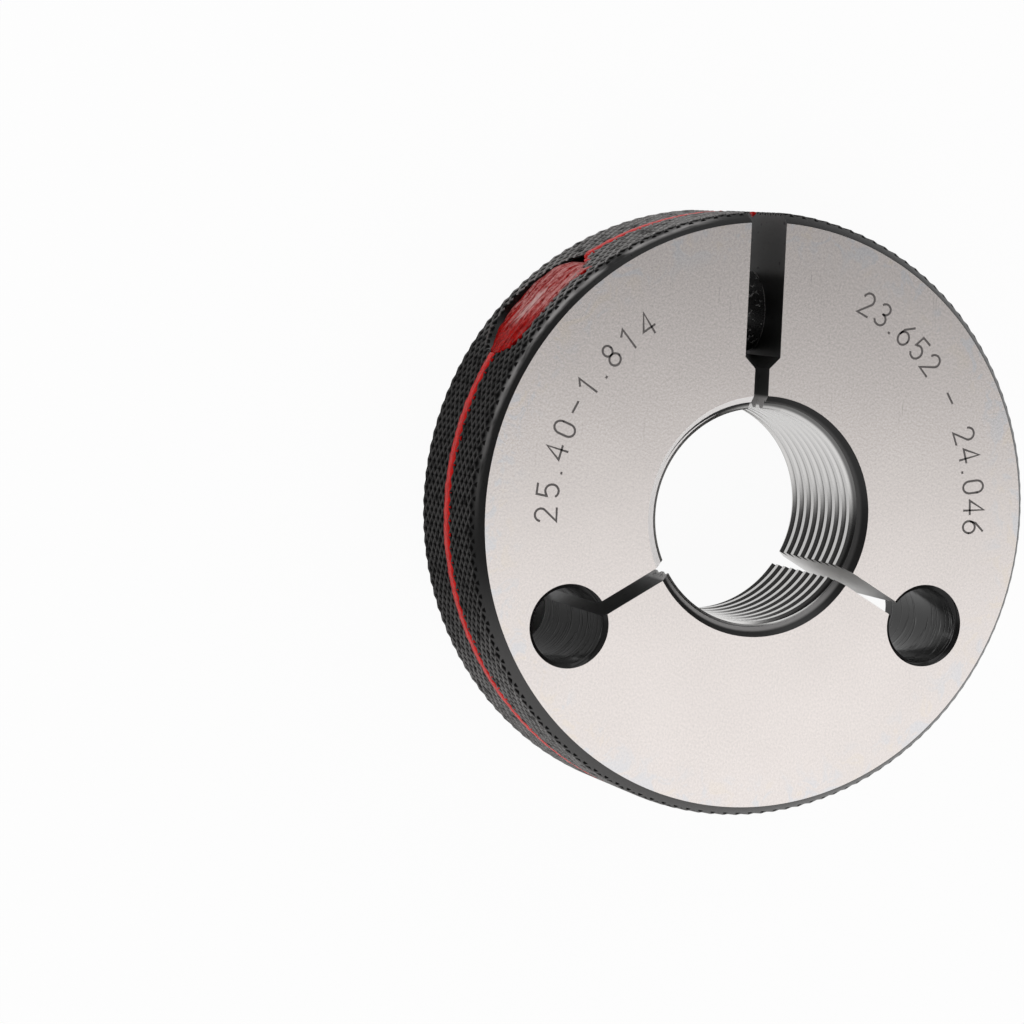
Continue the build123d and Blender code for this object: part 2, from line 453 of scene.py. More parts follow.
def lower_mouth(tree, place):
    """The inner half of the mouth is rubbed a little grey, and it is much lighter along its lower
    edge.
    """
    x, y, z = split_place(tree, place)
    return (MOUTH_RUB_Z - z).fade(0.0, 0.3) * ((-5 - y).fade(0.0, 5.0) * 0.82 + 0.18)


def left_mouth(tree, place):
    """Bare from the left side slot to the adjusting slit, where the chamfer was ground again."""
    x, y, z = split_place(tree, place)
    return (0 - x).fade(0.4, 0.7) * (y - x * SIDE_SLOT_SLOPE).fade(0.0, 0.4)


BARE = 0.50
# The grey streak on the shoulder is a painted highlight, with faint painted light below it.
layers = [(shoulder_highlight, 0.40)]
oxide_shoulder = make_black_oxide("oxide_shoulder", 0.009, 0.30, 0.16, layers=layers)
# The grey on the knurl's ridges is wear, with painted light at the upper left and below.
layers = [(knurl_wear_and_light, 0.50)]
oxide_knurl = make_black_oxide("oxide_knurl", 0.005, 0.36, 0.05, layers=layers)
# The slot's walls carry painted light above and below the sleeve, and painted shade beside it.
layers = [(slot_wall_light, 0.075), (near_thread, BARE), (slot_pits, 0.001), (sleeve_hole_highlight, 0.30)]
oxide_slot = make_black_oxide("oxide_slot", 0.010, 0.42, 0.30, cutter_lines, 0.010, layers)
# A painted highlight runs along the relief holes' back edges.
layers = [(back_edge_highlight, 0.90)]
oxide_hole = make_black_oxide("oxide_hole", 0.008, 0.19, 0.24, thin_rings, 0.030, layers)
layers = [(lower_mouth, 0.30), (left_mouth, 0.88)]
oxide_mouth = make_black_oxide("oxide_mouth", 0.010, 0.30, 0.30, layers=layers)
# The screws and the sleeve carry small painted glints.
layers = [(painted_glints, 0.16)]
oxide_screw = make_black_oxide("oxide_screw", 0.014, 0.24, 0.50, turning_rings, 0.006, layers)
print("made six blacked finishes")

# %% [markdown]
# # Bright steel
# The thread is lapped bright after blacking, with fine lines that run along it, and the walls of
# the right side slot keep the grain of the wheel that cut them. Those walls are bright as painted
# light: on the real ring both side slots share one finish, and the left one is blacked here as
# painted shade.

# %% Bright steel
BLACKED_DEPTH = 1.0  # below a face; the grooves are black down to here
BLACK_GROOVE_RADIUS = 12.30  # a groove's blacking, and the painted shade in its root, are full outside this


def make_bright_steel(name, level, roughness, marks, mark_depth, dark=None):
    """A bright finish with marks; dark is a pattern of blacking and of painted shade."""
    finish, tree, shader = new_finish(name, Metallic=1.0)
    place = place_in_mm(tree)
    lines = marks(tree, place)
    steel = grey(tree, (lines - 0.5) * 0.10 + level, (1.0, 0.985, 0.97))
    if dark:
        steel = blend(tree, dark(tree, place), steel, (0.03, 0.03, 0.03, 1))
    lead(tree, steel, shader, "Base Color")
    lead(tree, (lines - 0.5) * 0.08 + roughness, shader, "Roughness")
    lead(tree, bump(tree, lines, mark_depth), shader, "Normal")
    return finish


def lapping_lines(tree, place):
    """Lines along the thread: the pattern changes with radius and height, hardly with the turn."""
    x, y, z = split_place(tree, place)
    inputs = {0: from_axis(tree, place) * 7.0, 1: z * 5.0, 2: (x + y) * 0.15}
    across = Wire.node(tree, "ShaderNodeCombineXYZ", None, inputs)
    return grain(tree, across, 1.0, 2.0, 0.6)


def blacking_and_root_shade(tree, place):
    """1 in the grooves beside the mouths, where the blacking stays, and a little less in the root
    of every groove, as painted shade.
    """
    x, y, z = split_place(tree, place)
    depth = z.least(RING_THICKNESS - z)
    radius = from_axis(tree, place)
    near_face = 1 - depth.fade(BLACKED_DEPTH, BLACKED_DEPTH + 0.25)
    beside_mouth = near_face * radius.fade(12.15, BLACK_GROOVE_RADIUS)
    return beside_mouth.most(radius.fade(12.00, BLACK_GROOVE_RADIUS) * 0.8)


def wheel_grain(tree, place):
    """Fine streaks along the slot's depth."""
    return grain(tree, stretched(tree, place, (5.0, 5.0, 0.35)), 1.0, 3.0, 0.65)


# The thread's roots are darkened as painted shade.
bright_thread = make_bright_steel(
    "bright_thread", 0.50, 0.20, lapping_lines, 0.010, blacking_and_root_shade
)
lit_sawn_steel = make_bright_steel("lit_sawn_steel", 0.70, 0.42, wheel_grain, 0.012)
print("made", bright_thread.name, "and", lit_sawn_steel.name)

# %% [markdown]
# # Wax and paint
# The screws are sealed with red wax, smeared in with a blade: the smears run round the rim, and
# where the skin is scuffed it turns pale and dull. The pale colour also stands for painted sheen,
# and a paler streak is a painted highlight, as the wax itself barely shines. The groove holds a
# bead of red paint.

# %% Wax and paint
CLEAN_WAX = [(0.17, 0.002, 0.002, 1), (0.56, 0.010, 0.008, 1)]  # in its darker and lighter flecks
# The pale scuffed reds also stand for painted sheen, and the palest colour is a painted highlight.
SCUFFED_AND_SHEEN_WAX = [(0.58, 0.18, 0.17, 1), (0.74, 0.45, 0.44, 1)]
WAX_HIGHLIGHT = (0.80, 0.60, 0.58, 1)
PAINT_REDS = [(0.50, 0.004, 0.003, 1), (0.76, 0.008, 0.006, 1)]


def make_red_wax():
    finish, tree, shader = new_finish("red_wax", Metallic=0.0, Specular_IOR_Level=0.008)
    place = place_in_mm(tree)
    x, y, z = split_place(tree, place)
    smears = grain(tree, stretched(tree, place, (0.20, 0.20, 0.95), 8), 1.0, 4.0, 0.62, 0.7)
    flecks = grain(tree, place, 1.9, 4.0, 0.7)
    clean = blend(tree, flecks.fade(0.3, 0.7), *CLEAN_WAX)
    pale = blend(tree, flecks.fade(0.35, 0.65), *SCUFFED_AND_SHEEN_WAX)
    upper = (y + (smears - 0.5) * 6.0).fade(19.9, 22.6)
    scuffed_and_sheen = (smears * 0.75 + flecks * 0.25).fade(0.38, 0.58) * upper
    # A painted highlight streak along the middle of each plug.
    middle = near(z - y * 0.12, 6.8, 1.8) * y.fade(19.7, 21.2) * (1 - y.fade(22.6, 25.0))
    red = blend(tree, scuffed_and_sheen * 0.75, clean, pale)
    red = blend(tree, middle * smears.fade(0.42, 0.58) * 0.8, red, WAX_HIGHLIGHT)
    lead(tree, red, shader, "Base Color")
    lead(tree, 0.20 + scuffed_and_sheen * 0.22 + flecks * 0.10, shader, "Roughness")
    lead(tree, bump(tree, smears * 0.7 + flecks * 0.3, 0.16), shader, "Normal")
    return finish


def make_groove_paint():
    finish, tree, shader = new_finish("groove_paint_red", Metallic=0.0, Specular_IOR_Level=0.06)
    place = place_in_mm(tree)
    flecks = grain(tree, place, 1.7, 3.0, 0.6)
    lead(tree, blend(tree, flecks.fade(0.3, 0.7), *PAINT_REDS), shader, "Base Color")
    lead(tree, flecks * 0.2 + 0.25, shader, "Roughness")
    lead(tree, bump(tree, flecks, 0.08), shader, "Normal")
    return finish


red_wax = make_red_wax()
groove_paint_red = make_groove_paint()
print("made", red_wax.name, "and", groove_paint_red.name)

# %% [markdown]
# # The marking's finish
# The numbers are etched, which leaves a dark and dull line. So the finish is rough and isn't
# metallic, and faint flecks break up its grey-brown.

# %% Etched marking
def make_marking():
    finish, tree, shader = new_finish("etched_marking", Metallic=0.0, Roughness=0.6)
    place = place_in_mm(tree)
    flecks = grain(tree, place, 4.0, 3.0, 0.6)
    lead(tree, grey(tree, flecks * 0.05 + 0.085, (1.0, 0.90, 0.87)), shader, "Base Color")
    return finish


etched_marking = make_marking()
print("made", etched_marking.name)

# %% [markdown]
# # The knurled drum
# The rim's diamond knurl is a net of two families of spiral ridges, with a pit in each mesh. The
# points follow the ridges, so each diamond is three faces by three and its ridges are true edges.
# The drum is longer than the ring, because the ring's outline is cut from it next.

# %% Knurl
KNURLS_AROUND = 137
KNURL_ROWS = 0.75  # ridges of one family to the millimetre along Z
KNURL_DEPTH = 0.36
KNURL_STEPS = (0.0, 0.24, 0.76)  # the crest of a ridge, then the two edges of a pit's flat floor
KNURL_LINES = len(KNURL_STEPS)  # lattice lines to one ridge
DRUM_MARGIN = 1.5


def ridge_phase(index):
    """Where a lattice line lies, in ridge spacings."""
    return index // KNURL_LINES + KNURL_STEPS[index % KNURL_LINES]


def on_ridge(i, j):
    """Whether a lattice point lies on a ridge of either family."""
    return i % KNURL_LINES == 0 or j % KNURL_LINES == 0


def knurled_drum():
    """A closed drum with the knurl on its wall."""
    rows = ceil((MIDDLE_Z + DRUM_MARGIN) * KNURL_ROWS * 2 * KNURL_LINES)
    around = KNURL_LINES * KNURLS_AROUND
    half_height = rows / (KNURL_ROWS * 2 * KNURL_LINES)
    points = [(0, 0, MIDDLE_Z - half_height), (0, 0, MIDDLE_Z + half_height)]
    for row in range(-rows, rows + 1):
        for i in range(around):
            j = i - row
            u, v = ridge_phase(i), ridge_phase(j)
            turn = pi * (u + v) / KNURLS_AROUND
            r = RIM_RADIUS - (0 if on_ridge(i, j) else KNURL_DEPTH)
            points.append((r * cos(turn), r * sin(turn), MIDDLE_Z + (u - v) / (KNURL_ROWS * 2)))

    def at(row, i):
        return 2 + (row + rows) * around + i % around

    faces = []
    for row in range(-rows + 1, rows):
        for i in range(around):
            j = i - row
            left, top, right, low = at(row, i), at(row + 1, i + 1), at(row, i + 1), at(row - 1, i)
            if on_ridge(i + 1, j) != on_ridge(i, j + 1):  # folded from low to top
                faces += [(left, low, top), (low, right, top)]
            else:
                faces += [(left, low, right), (left, right, top)]
    for i in range(around):
        faces.append((1, at(rows - 1, i), at(rows, i + 1)))
        faces.append((1, at(rows, i + 1), at(rows - 1, i + 1)))
        faces.append((0, at(-rows, i), at(-rows + 1, i)))
        faces.append((0, at(-rows + 1, i + 1), at(-rows, i)))
    return make_solid("ring_steel_body", points, faces, [oxide_knurl])


ring = knurled_drum()
print("drum:", len(ring.data.polygons), "faces")

# %% [markdown]
# # The ring's outline
# On the lathe the faces, bevels, shoulders and groove are turned on one centre. Here one turned
# solid holds them all, and the drum is kept only where it lies inside that solid. The outline
# passes outside the knurl's ridges, so the knurl itself is never trimmed flat.

# %% Ring outline
RIM_MARGIN = 0.2  # how far the outline passes outside the ridges


def mirrored(half):
    """The (radius, z) points of a half outline, seen from the other face."""
    return [(r, RING_THICKNESS - z) for r, z in reversed(half)]


def ring_outline():
    """The ring's turned outside, without its bore."""
    shoulder_z = FACE_BEVEL + SHOULDER_LENGTH
    half = [
        (0, 0),
        (FACE_EDGE_RADIUS, 0),
        (FACE_EDGE_RADIUS + FACE_BEVEL, FACE_BEVEL),
        (RIM_RADIUS, shoulder_z),
        (RIM_RADIUS + RIM_MARGIN, shoulder_z + RIM_MARGIN * SHOULDER_LENGTH / SHOULDER_FALL),
        (RIM_RADIUS + RIM_MARGIN, MIDDLE_Z - GROOVE_WIDTH / 2 * (1 + RIM_MARGIN / GROOVE_DEPTH)),
    ]
    outline = half + [(RIM_RADIUS - GROOVE_DEPTH, MIDDLE_Z)] + mirrored(half)
    finishes = [ground_steel, oxide_shoulder, oxide_knurl]
    return turned("ring_outline", outline, finishes, [0, 1, 1, 1, 1, 2, 2, 1, 1, 1, 1, 0])


cut(ring, ring_outline(), "INTERSECT")

# %% [markdown]
# # The thread
# The bore is cut by a solid tap whose points follow the helix: a column of crests and roots is
# turned and lifted a little at each step. The tap is longer than the ring, so that its ends stay
# outside.

# %% Thread
THREAD_STEPS = 240
SPARE_TURNS = 2  # of the tap's thread, beyond each face
THREAD_LEVELS = [
    (0.0, CREST_RADIUS),
    (CREST_FLAT, CREST_RADIUS),
    (CREST_FLAT + FLANK_RUN, ROOT_RADIUS),
    (PITCH - FLANK_RUN, ROOT_RADIUS),
]


def thread_tap():
    """The screw thread as a solid tap, longer than the ring is thick, to cut the bore with."""
    lift = len(THREAD_LEVELS)
    turns = ceil(RING_THICKNESS / PITCH) + 2 * SPARE_TURNS
    height = turns * lift
    crest_z = RING_THICKNESS - CREST_DEPTH - CREST_FLAT / 2 - PITCH * CREST_TURN / 360
    start_z = crest_z - PITCH * (ceil(crest_z / PITCH) + SPARE_TURNS)
    points = [(0, 0, start_z - PITCH), (0, 0, start_z + (turns + 2) * PITCH)]
    for k in range(THREAD_STEPS):
        turn = 2 * pi * k / THREAD_STEPS
        for n in range(height + 1):
            rise, r = THREAD_LEVELS[n % lift]
            z = start_z + PITCH * (n // lift + k / THREAD_STEPS) + rise
            points.append((r * cos(turn), r * sin(turn), z))

    def at(k, n):
        return 2 + k % THREAD_STEPS * (height + 1) + n

    faces = []
    for k in range(THREAD_STEPS):
        step = lift if k == THREAD_STEPS - 1 else 0  # the last column meets the first a turn up
        for n in range(height - step):
            faces.append((at(k, n), at(k + 1, n + step), at(k + 1, n + 1 + step), at(k, n + 1)))
    lower = [at(k, 0) for k in range(THREAD_STEPS)] + [at(0, n) for n in range(lift, 0, -1)]
    upper = [at(k, height) for k in range(THREAD_STEPS)]
    upper += [at(-1, height - n) for n in range(1, lift + 1)]
    faces += [(0, b, a) for a, b in zip(lower, lower[1:] + lower[:1])]
    faces += [(1, a, b) for a, b in zip(upper, upper[1:] + upper[:1])]
    return make_solid("thread_tap", points, faces, [bright_thread])


cut(ring, thread_tap())

# %% [markdown]
# # The mouths of the thread
# Each end of the bore opens in a 45 degree chamfer, which is black outside and bright inside. The
# cutter is one turned cone with both finishes, because a cut surface takes its cutter's finish.

# %% Mouths of the thread
BLACK_MOUTH_RADIUS = 12.27  # the chamfer is bright inside this, ground again with the thread
CONE_MARGIN = 1.0  # how far a chamfer's cone runs past the face that it opens
CREST_MARGIN = 0.3  # how far the mouth's cone runs on inside the crests


def mouth_cone(at_front):
    """The chamfer at one end of the thread, black outside and bright inside."""
    outside = CREST_RADIUS + MOUTH_CHAMFER
    inner_z = MOUTH_CHAMFER + CREST_MARGIN
    cone = [(0, -CONE_MARGIN), (outside + CONE_MARGIN, -CONE_MARGIN)]
    cone += [(BLACK_MOUTH_RADIUS, outside - BLACK_MOUTH_RADIUS)]
    cone += [(CREST_RADIUS - CREST_MARGIN, inner_z), (0, inner_z)]
    finish_numbers = [0, 0, 1, 1]
    if at_front:
        cone = mirrored(cone)
        finish_numbers.reverse()
    return turned("mouth_cone", cone, [oxide_mouth, bright_thread], finish_numbers)


cut(ring, mouth_cone(False))
cut(ring, mouth_cone(True))

# %% [markdown]
# # Slots and holes
# The ring is cut through at its adjusting slot and slotted at both sides, so that it can spring.
# They could be modelled face by face, but cutting keeps their edges crisp. Each slot and hole has
# a simple tool that carries the finish of the surface it leaves.

# %% Slots
CUT_MARGIN = 2.0  # how far a tool runs past the surface that it opens


def prism(name, outline, finish):
    """A tool with the given XY outline, anticlockwise, through both faces of the ring."""
    count = len(outline)
    points = [(x, y, z) for z in (-CUT_MARGIN, RING_THICKNESS + CUT_MARGIN) for x, y in outline]
    faces = [tuple(range(count - 1, -1, -1)), tuple(range(count, 2 * count))]
    faces += [(i, (i + 1) % count, count + (i + 1) % count, count + i) for i in range(count)]
    return make_solid(name, points, faces, [finish])


def adjusting_slot():
    """The wide slot from the rim, its 45 degree floor, and the slit into the thread."""
    slit_y = ADJUSTING_SLOT_FLOOR - (ADJUSTING_SLOT_HALF - ADJUSTING_SLIT_HALF)
    top_y = RIM_RADIUS + CUT_MARGIN
    right = [(ADJUSTING_SLIT_HALF, 0), (ADJUSTING_SLIT_HALF, slit_y)]
    right += [(ADJUSTING_SLOT_HALF, ADJUSTING_SLOT_FLOOR), (ADJUSTING_SLOT_HALF, top_y)]
    outline = right + [(-x, y) for x, y in reversed(right)]
    return prism("adjusting_slot", [(x + LAYOUT_OFFSET_X, y) for x, y in outline], oxide_slot)


def side_slot(side, finish):
    """One side slot, from the thread to its relief hole; side is 1 to the right, -1 to the left."""
    turn = Matrix.Rotation(radians(-side * SIDE_SLOT_TURN), 2)
    corners = [(SIDE_SLOT_HALF, 0), (SIDE_SLOT_HALF, RELIEF_HOLE_REACH)]
    corners += [(-x, y) for x, y in reversed(corners)]
    outline = [turn @ Vector(corner) + Vector((LAYOUT_OFFSET_X, 0)) for corner in corners]
    return prism("side_slot", outline, finish)


cut(ring, adjusting_slot())
# Painted light and shade: the right side slot is bright and the left one blacked, though both share
# one finish on the real ring.
cut(ring, side_slot(1, lit_sawn_steel))
cut(ring, side_slot(-1, oxide_slot))

# %% Relief holes
HOLE_STEPS = 120


def relief_hole(side):
    """A drilled hole with a chamfer at each face; side is 1 to the right, -1 to the left."""
    radius, chamfer = RELIEF_HOLE_RADIUS, RELIEF_HOLE_CHAMFER
    half = [(0, -CONE_MARGIN), (radius + chamfer + CONE_MARGIN, -CONE_MARGIN), (radius, chamfer)]
    outline = half + mirrored(half)
    hole = turned("relief_hole", outline, [oxide_hole], [0] * 5, steps=HOLE_STEPS)
    bearing = radians(RELIEF_HOLE_BEARING)
    x = LAYOUT_OFFSET_X + side * RELIEF_HOLE_REACH * sin(bearing)
    hole.data.transform(Matrix.Translation((x * MM, RELIEF_HOLE_REACH * cos(bearing) * MM, 0)))
    return hole


cut(ring, relief_hole(-1))
cut(ring, relief_hole(1))

# %% Cross hole
def cross_hole():
    """The stepped hole along X for the sleeve and the two screws."""
    reach = RIM_RADIUS + CUT_MARGIN
    outline = [
        (0, -reach),
        (POCKET_RADIUS, -reach),
        (POCKET_RADIUS, POCKET_FLOOR_LEFT),
        (SLEEVE_HOLE_RADIUS, POCKET_FLOOR_LEFT),
        (SLEEVE_HOLE_RADIUS, SLEEVE_SEAT_X),
        (SHANK_HOLE_RADIUS, SLEEVE_SEAT_X),
        (SHANK_HOLE_RADIUS, HEAD_SEAT_X),
        (POCKET_RADIUS, HEAD_SEAT_X),
        (POCKET_RADIUS, reach),
        (0, reach),
    ]
    hole = turned("cross_hole", outline, [oxide_hole], [0] * 9, steps=HOLE_STEPS)
    move = Matrix.Translation((0, SCREW_AXIS_Y * MM, MIDDLE_Z * MM))
    hole.data.transform(move @ Matrix.Rotation(pi / 2, 4, "Y"))
    return hole


cut(ring, cross_hole())

# %% [markdown]
# # Shading the ring
# Round surfaces are shaded smooth, but steep edges and those between two finishes stay sharp, as
# on a machined part.

# %% Finish the ring
SMOOTH_ANGLE = 28  # degrees; two faces that meet at more than this keep a sharp edge


def sharpen_finish_edges(mesh):
    """Makes each edge between two finishes sharp, so that neither shades the other."""
    shape = bmesh.new()
    shape.from_mesh(mesh)
    for edge in shape.edges:
        if len({face.material_index for face in edge.link_faces}) > 1:
            edge.smooth = False
    shape.to_mesh(mesh)
    shape.free()


ring.data.shade_smooth()
ring.data.set_sharp_from_angle(angle=radians(SMOOTH_ANGLE))
sharpen_finish_edges(ring.data)
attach(ring, "root")
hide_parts("ring_body")
print("ring:", len(ring.data.polygons), "faces")
print("finishes:", [finish.name for finish in ring.data.materials])

# %% [markdown]
# # Paint in the groove
# A bead of red paint lies in the bottom of the V groove. It was brushed in by hand, so its edges
# wander. The slot and the screws' pockets break it into three lengths, and drops hang from two
# of their ends.

# %% Groove paint
PAINT_HALF_WIDTH = 0.86
PAINT_LEAN = 0.12  # the half width is this much more at the left, and less at the right
PAINT_SINK = 0.02  # from the rim in to the crown of the bead
PAINT_STEP = 0.25  # degrees along the bead
# Across the bead: shares of its half width, and how far each lies below the crown.
PAINT_SECTION = [(-1, 0.20), (-0.8, 0.04), (-0.25, 0), (0.25, 0), (0.8, 0.04), (1, 0.20)]
PAINT_ROOT_RADIUS = RIM_RADIUS - GROOVE_DEPTH - 0.1  # just inside the bottom of the groove
PAINT_DROPS = [  # centre, then half size along each axis
    ((-18.25, 27.62, 9.6), (0.30, 0.40, 0.80)),
    ((-18.95, 27.18, 11.4), (0.22, 0.24, 1.1)),
    ((-2.45, 32.72, 9.3), (0.42, 0.55, 1.1)),
]


def rim_point(bearing, radius, z):
    """A point from its angle about +Z, in degrees from +X."""
    return (radius * cos(radians(bearing)), radius * sin(radians(bearing)), z)


def wander(bearing, pace, seed=0.0):
    """A smooth random value from -1 to 1 that closes up after a full turn."""
    spot = (pace * cos(radians(bearing)), pace * sin(radians(bearing)), seed)
    return noise.noise(spot) * 1.6


def paint_bead(start, end):
    """One length of the bead, closed at both ends, as points and faces."""
    steps = int((end - start) / PAINT_STEP)
    points, faces = [], []
    for k in range(steps + 1):
        bearing = start + (end - start) * k / steps
        wide = PAINT_HALF_WIDTH - PAINT_LEAN * cos(radians(bearing))
        left = wide + 0.14 * wander(bearing, 26.0) + 0.10 * wander(bearing, 80.0, 2.0)
        right = wide + 0.14 * wander(bearing, 26.0, 5.0) + 0.10 * wander(bearing, 80.0, 7.0)
        crown = RIM_RADIUS - PAINT_SINK + 0.04 * wander(bearing, 50.0, 9.0)
        for share, fall in PAINT_SECTION:
            z = MIDDLE_Z + share * (left if share < 0 else right)
            points.append(rim_point(bearing, crown - fall, z))
        points.append(rim_point(bearing, PAINT_ROOT_RADIUS, MIDDLE_Z))
    count = len(PAINT_SECTION) + 1
    for k in range(steps):
        for i in range(count):
            a, b = k * count + i, k * count + (i + 1) % count
            faces.append((a, b, b + count, a + count))
    faces.append(tuple(range(count - 1, -1, -1)))
    faces.append(tuple(steps * count + i for i in range(count)))
    return points, faces


def paint_drop(centre, reach, steps=16):
    """A hanging drop, as points and faces; reach is its half size along X, Y and Z."""
    points = [(centre[0], centre[1], centre[2] + side * reach[2]) for side in (-1, 1)]
    for level in range(1, steps):
        tilt = pi * level / steps
        for k in range(steps):
            turn = 2 * pi * k / steps
            ball = (sin(tilt) * cos(turn), sin(tilt) * sin(turn), -cos(tilt))
            points.append(tuple(c + r * b for c, r, b in zip(centre, reach, ball)))
    faces = []
    for k in range(steps):
        after, last = (k + 1) % steps, 2 + (steps - 2) * steps
        faces += [(0, 2 + after, 2 + k), (1, last + k, last + after)]
        for level in range(steps - 2):
            here, above = 2 + level * steps, 2 + (level + 1) * steps
            faces.append((here + k, here + after, above + after, above + k))
    return points, faces


def bearing_at(y):
    """Where a height on the bead is, in degrees from +X."""
    return degrees(asin(y / (RIM_RADIUS - 0.3)))


def groove_paint():
    """The bead's three lengths and the drops as one piece."""
    pocket_low = bearing_at(SCREW_AXIS_Y - POCKET_RADIUS)
    pocket_high = bearing_at(SCREW_AXIS_Y + POCKET_RADIUS)
    slot_right = degrees(acos((LAYOUT_OFFSET_X + ADJUSTING_SLOT_HALF) / RIM_RADIUS))
    slot_left = degrees(acos((LAYOUT_OFFSET_X - ADJUSTING_SLOT_HALF) / RIM_RADIUS))
    points, faces = [], []
    lengths = [(pocket_high, slot_right), (slot_left, 180 - pocket_high)]
    lengths += [(180 - pocket_low, 360 + pocket_low)]
    drops = [paint_drop(centre, reach) for centre, reach in PAINT_DROPS]
    for more, sides in [paint_bead(start, end) for start, end in lengths] + drops:
        faces += [tuple(i + len(points) for i in side) for side in sides]
        points += more
    return make_solid("groove_paint", points, faces, [groove_paint_red])


paint = groove_paint()
paint.data.shade_smooth()
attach(paint, "root")
print("paint:", len(paint.data.polygons), "faces")

# %% [markdown]
# # Sealing wax
# Each plug of wax fills its pocket from the screw's end to just under the rim. Its skin is sunk at
# the back of the pocket, and at the front it is smeared out over the knurl with a torn edge.

# %% Wax plugs
WAX_RINGS = 30
WAX_STEPS = 180
WAX_EDGE = POCKET_RADIUS - 0.02
WAX_TOP = {-1: 4.7, 1: WAX_EDGE}  # the left plug stops short of its pocket's upper edge
WAX_SINK = 0.14  # from the rim in to the skin
WAX_HOLLOW = 0.62  # how much further it is sunk at the back
WAX_ROUNDING = 0.45  # how far the left plug's free upper end is rounded off
# Bearing and half width in degrees, then reach in millimetres.
WAX_SPILLS = [(55, 7, 1.35), (134, 20, 0.55), (95, 60, 0.10)]
# Along Y and Z from the pocket's axis, then half width and depth.
WAX_DENTS = [(-1.5, -2.0, 0.42, 0.40), (-2.9, -1.4, 0.38, 0.36), (1.1, 1.5, 0.5, 0.12)]
# The rings of the torn lip: a share of the spill, then how far each rises over the rim.
WAX_LIP = [(0.6, 0.05), (1.0, -0.02), (1.0, -0.40), (0.0, -0.40)]


def wax_edge(turn, side):
    """How far the wax reaches from its pocket's axis."""
    return min(WAX_EDGE, WAX_TOP[side] / cos(turn)) if cos(turn) > 0.5 else WAX_EDGE


def wax_spill(turn, side):
    """How far the wax is smeared out over the knurl."""
    angle = degrees(turn)
    spill = sum(
        reach * exp(-(((angle - middle) / wide) ** 2)) for middle, wide, reach in WAX_SPILLS
    )
    torn = 1 + 0.8 * noise.fractal(Vector((6 * cos(turn), 6 * sin(turn), side)), 0.8, 2.0, 4)
    return max(0.0, spill * torn - 0.02)


def wax_point(rho, turn, side):
    """A point of the skin, at a distance and angle from its pocket's axis."""
    y, z = rho * cos(turn), rho * sin(turn)
    back = min(1.0, max(0.0, (1.0 - z) / 6.0))
    high = min(1.0, max(0.0, (y - 0.5) / 3.0))
    sink = WAX_SINK + WAX_HOLLOW * back * (1 - high)
    if side < 0:
        sink += WAX_ROUNDING * max(0.0, 1 - (WAX_TOP[side] - y) / 0.8) ** 2
    ridge = noise.fractal(Vector((0.16 * y, 0.62 * z, 3.1 * side)), 0.7, 2.1, 4) * 0.18
    lumps = noise.fractal(Vector((0.55 * y, 0.9 * z, 7.7 * side)), 0.8, 2.0, 4) * 0.10
    dents = sum(
        deep * exp(-((y - at_y) ** 2 + (z - at_z) ** 2) / wide**2)
        for at_y, at_z, wide, deep in WAX_DENTS
    )
    reach = RIM_RADIUS - sink + ridge + lumps - dents
    y += SCREW_AXIS_Y
    return (side * sqrt(reach**2 - y**2), y, MIDDLE_Z + z)


def wax_plug(name, screw_end_x):
    """A closed plug: skin, torn lip, wall and flat inner end."""
    side = 1 if screw_end_x > 0 else -1
    turns = [2 * pi * k / WAX_STEPS for k in range(WAX_STEPS)]
    points = [wax_point(0.0, 0.0, side)]
    for step in range(1, WAX_RINGS + 1):
        points += [wax_point(wax_edge(turn, side) * step / WAX_RINGS, turn, side) for turn in turns]
    for widen, rise in WAX_LIP:
        for turn in turns:
            spill = wax_spill(turn, side)
            point = wax_point(wax_edge(turn, side) + widen * spill, turn, side)
            if spill > 0.01:
                out = hypot(point[0], point[1])
                reach = max(out, RIM_RADIUS + rise) if rise > -0.1 else RIM_RADIUS + rise
                point = (point[0] * reach / out, point[1] * reach / out, point[2])
            points.append(point)
    for turn in turns:
        edge = wax_edge(turn, side)
        points.append((screw_end_x, SCREW_AXIS_Y + edge * cos(turn), MIDDLE_Z + edge * sin(turn)))
    rings = WAX_RINGS + len(WAX_LIP) + 1
    faces = [(0, 1 + k, 1 + (k + 1) % WAX_STEPS) for k in range(WAX_STEPS)]
    for step in range(rings - 1):
        for k in range(WAX_STEPS):
            a, b = 1 + step * WAX_STEPS + k, 1 + step * WAX_STEPS + (k + 1) % WAX_STEPS
            faces.append((a, a + WAX_STEPS, b + WAX_STEPS, b))
    faces.append(tuple(1 + (rings - 1) * WAX_STEPS + k for k in reversed(range(WAX_STEPS))))
    if side < 0:
        faces = [face[::-1] for face in faces]
    return make_solid(name, points, faces, [red_wax])


seals = {
    "adjusting_screw_seal": ADJUSTING_SCREW_END_X,
    "locking_screw_seal": LOCKING_SCREW_END_X,
}
for node, screw_end_x in seals.items():
    plug = wax_plug(node.replace("seal", "wax"), screw_end_x)
    plug.data.shade_smooth()
    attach(plug, "root")
    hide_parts(node)
    print(plug.name, len(plug.data.polygons), "faces")

# %% [markdown]
# # Etched numbers
# The marked face carries the bore's sizes in millimetres, as plain numbers in a plotter's
# single-stroke letters. Each stroke becomes a flat ribbon, laid along an arc about the thread.

# %% Number strokes
CAP_HEIGHT = 2.5
STROKE_WIDTH = 0.25
STROKE_RISE = 0.006  # over the face, so that the ribbon shows
STROKE_SINK = 0.02  # into the face
POINT_ADVANCE = 0.62  # of a decimal point along the arc, where another sign takes 1


